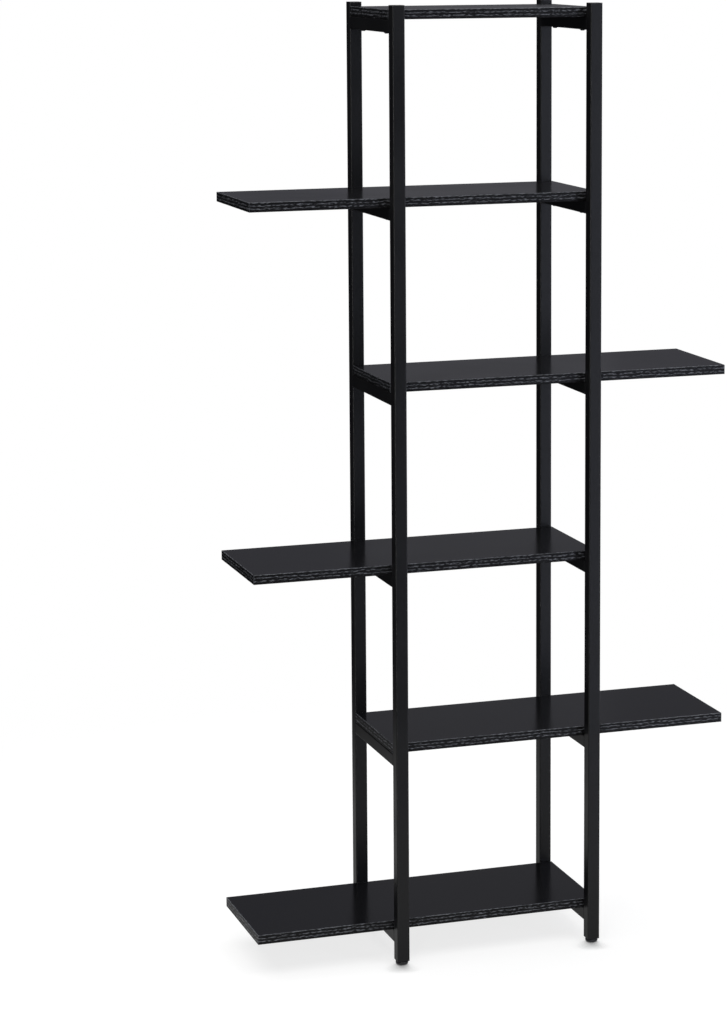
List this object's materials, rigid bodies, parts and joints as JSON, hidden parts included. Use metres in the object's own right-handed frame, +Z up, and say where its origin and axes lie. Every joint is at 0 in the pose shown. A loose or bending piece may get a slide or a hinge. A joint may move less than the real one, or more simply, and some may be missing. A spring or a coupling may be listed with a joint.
{
  "type": "plant stand",
  "caption": "Free-standing plant stand: a square-tube steel tower with levelling feet carries a short top board and long black boards that reach out to alternate sides.",
  "frame": {"origin": "on the floor, at the middle of the rack's width and depth", "axes": "+Z up, +X to the right seen from the front, -Y towards the front"},
  "size_m": [0.78, 0.24, 1.5],
  "materials": {
    "powder_coated_steel": "satin black powder coat",
    "black_faced_board": "smooth satin black melamine facing",
    "edge_band": "printed black plastic edge band with fine grey streaks",
    "black_screw_steel": "black oxide",
    "black_plastic": "moulded black plastic",
    "zinc_plated_steel": "bright zinc plate"
  },
  "bodies": {
    "rack": {"upright_left_front": "powder_coated_steel", "upright_left_rear": "powder_coated_steel", "upright_right_front": "powder_coated_steel", "upright_right_rear": "powder_coated_steel", "crossbar_1_left": "powder_coated_steel", "crossbar_1_right": "powder_coated_steel", "crossbar_2_left": "powder_coated_steel", "crossbar_2_right": "powder_coated_steel", "crossbar_3_left": "powder_coated_steel", "crossbar_3_right": "powder_coated_steel", "crossbar_4_left": "powder_coated_steel", "crossbar_4_right": "powder_coated_steel", "crossbar_5_left": "powder_coated_steel", "crossbar_5_right": "powder_coated_steel", "crossbar_6_left": "powder_coated_steel", "crossbar_6_right": "powder_coated_steel", "shelf_board_1": "black_faced_board", "shelf_board_2": "black_faced_board", "shelf_board_3": "black_faced_board", "shelf_board_4": "black_faced_board", "shelf_board_5": "black_faced_board", "shelf_board_6": "black_faced_board", "edge_bands_1": "edge_band", "edge_bands_2": "edge_band", "edge_bands_3": "edge_band", "edge_bands_4": "edge_band", "edge_bands_5": "edge_band", "edge_bands_6": "edge_band", "board_screws_1": "black_screw_steel", "board_screws_2": "black_screw_steel", "board_screws_3": "black_screw_steel", "board_screws_4": "black_screw_steel", "board_screws_5": "black_screw_steel", "board_screws_6": "black_screw_steel", "tube_cap_left_front": "black_plastic", "tube_cap_left_rear": "black_plastic", "tube_cap_right_front": "black_plastic", "tube_cap_right_rear": "black_plastic", "foot_insert_left_front": "black_plastic", "foot_insert_left_rear": "black_plastic", "foot_insert_right_front": "black_plastic", "foot_insert_right_rear": "black_plastic"},
    "foot_left_front": {"foot_stud_left_front": "zinc_plated_steel", "foot_pad_left_front": "black_plastic"},
    "foot_left_rear": {"foot_stud_left_rear": "zinc_plated_steel", "foot_pad_left_rear": "black_plastic"},
    "foot_right_front": {"foot_stud_right_front": "zinc_plated_steel", "foot_pad_right_front": "black_plastic"},
    "foot_right_rear": {"foot_stud_right_rear": "zinc_plated_steel", "foot_pad_right_rear": "black_plastic"}
  },
  "joints": [
    {"name": "foot_left_front_height", "type": "slide", "parent": "rack", "child": "foot_left_front", "axis": [0, 0, -1], "range_m": [0, 0.008]},
    {"name": "foot_left_rear_height", "type": "slide", "parent": "rack", "child": "foot_left_rear", "axis": [0, 0, -1], "range_m": [0, 0.008]},
    {"name": "foot_right_front_height", "type": "slide", "parent": "rack", "child": "foot_right_front", "axis": [0, 0, -1], "range_m": [0, 0.008]},
    {"name": "foot_right_rear_height", "type": "slide", "parent": "rack", "child": "foot_right_rear", "axis": [0, 0, -1], "range_m": [0, 0.008]}
  ]
}
